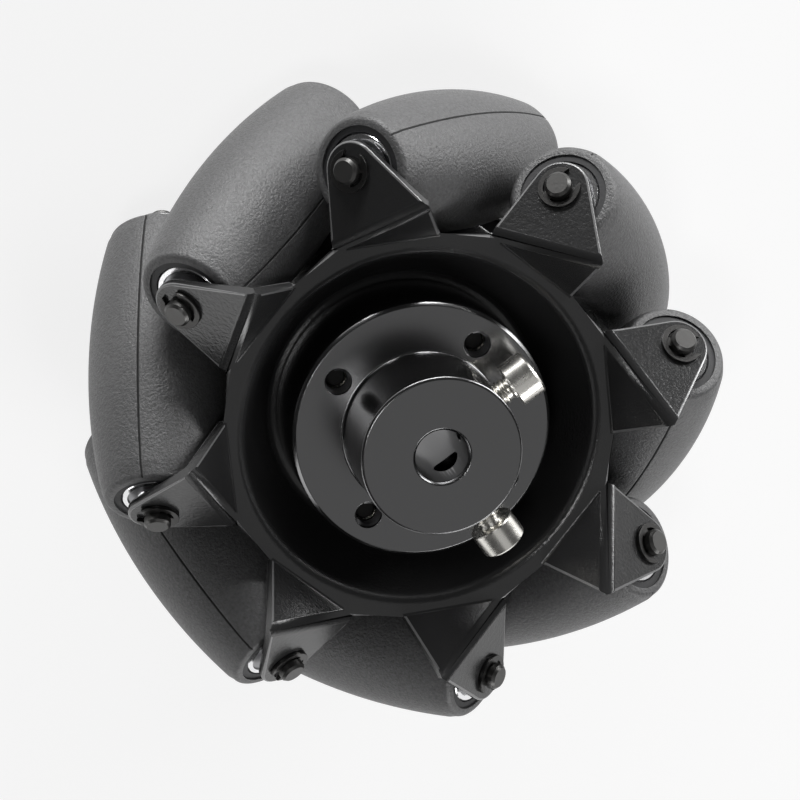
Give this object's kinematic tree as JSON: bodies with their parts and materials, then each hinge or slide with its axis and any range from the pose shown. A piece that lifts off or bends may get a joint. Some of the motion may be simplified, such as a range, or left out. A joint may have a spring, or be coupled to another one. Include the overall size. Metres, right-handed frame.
{
  "type": "mecanum wheel",
  "caption": "Mecanum wheel: barrel rollers set at 45 degrees between folded-ear pressed plates, with a clamping shaft coupling.",
  "frame": {"origin": "on the wheel's axis, in the plane that the outer plate's ear tips stand on", "axes": "+Z along the wheel's axis, out of the coupling's bore; +X through the centre of roller 1 and the first clamp screw; X, Y and Z form a right-handed set"},
  "size_m": [0.0964, 0.0964, 0.059],
  "materials": {
    "plate_paint": "gloss black paint on pressed steel",
    "spacer_alloy": "black anodised",
    "coupling_alloy": "satin black anodised, turned",
    "bright_screws": "bright nickel plate",
    "clip_steel": "dark spring steel",
    "bearing_steel": "ground steel",
    "axle_steel": "dark blued steel",
    "tyre_rubber": "matt, fine grained, with thin mould lines",
    "core_plastic": "moulded black"
  },
  "bodies": {
    "hub": {"inner_plate": "plate_paint", "outer_plate": "plate_paint", "centre_spacer": "spacer_alloy", "shaft_coupling": "coupling_alloy", "flange_screws": "bright_screws", "clamp_screws": "bright_screws", "retaining_clips": "clip_steel", "axle_washers": "bearing_steel", "axle_pin_1": "axle_steel", "axle_pin_2": "axle_steel", "axle_pin_3": "axle_steel", "axle_pin_4": "axle_steel", "axle_pin_5": "axle_steel", "axle_pin_6": "axle_steel", "axle_pin_7": "axle_steel", "axle_pin_8": "axle_steel"},
    "roller_1": {"tyre_1": "tyre_rubber", "roller_core_1": "core_plastic", "bearings_1": "bearing_steel"},
    "roller_2": {"tyre_2": "tyre_rubber", "roller_core_2": "core_plastic", "bearings_2": "bearing_steel"},
    "roller_3": {"tyre_3": "tyre_rubber", "roller_core_3": "core_plastic", "bearings_3": "bearing_steel"},
    "roller_4": {"tyre_4": "tyre_rubber", "roller_core_4": "core_plastic", "bearings_4": "bearing_steel"},
    "roller_5": {"tyre_5": "tyre_rubber", "roller_core_5": "core_plastic", "bearings_5": "bearing_steel"},
    "roller_6": {"tyre_6": "tyre_rubber", "roller_core_6": "core_plastic", "bearings_6": "bearing_steel"},
    "roller_7": {"tyre_7": "tyre_rubber", "roller_core_7": "core_plastic", "bearings_7": "bearing_steel"},
    "roller_8": {"tyre_8": "tyre_rubber", "roller_core_8": "core_plastic", "bearings_8": "bearing_steel"}
  },
  "joints": [
    {"name": "roller_1_spin", "type": "hinge", "parent": "hub", "child": "roller_1", "pos_m": [0.03744, 0, 0.02715], "axis": [0, 0.7071, 0.7071], "continuous": true},
    {"name": "roller_2_spin", "type": "hinge", "parent": "hub", "child": "roller_2", "pos_m": [0.02648, 0.02648, 0.02715], "axis": [-0.5, 0.5, 0.7071], "continuous": true},
    {"name": "roller_3_spin", "type": "hinge", "parent": "hub", "child": "roller_3", "pos_m": [0, 0.03744, 0.02715], "axis": [-0.7071, 0, 0.7071], "continuous": true},
    {"name": "roller_4_spin", "type": "hinge", "parent": "hub", "child": "roller_4", "pos_m": [-0.02648, 0.02648, 0.02715], "axis": [-0.5, -0.5, 0.7071], "continuous": true},
    {"name": "roller_5_spin", "type": "hinge", "parent": "hub", "child": "roller_5", "pos_m": [-0.03744, 0, 0.02715], "axis": [0, -0.7071, 0.7071], "continuous": true},
    {"name": "roller_6_spin", "type": "hinge", "parent": "hub", "child": "roller_6", "pos_m": [-0.02648, -0.02648, 0.02715], "axis": [0.5, -0.5, 0.7071], "continuous": true},
    {"name": "roller_7_spin", "type": "hinge", "parent": "hub", "child": "roller_7", "pos_m": [0, -0.03744, 0.02715], "axis": [0.7071, 0, 0.7071], "continuous": true},
    {"name": "roller_8_spin", "type": "hinge", "parent": "hub", "child": "roller_8", "pos_m": [0.02648, -0.02648, 0.02715], "axis": [0.5, 0.5, 0.7071], "continuous": true}
  ]
}
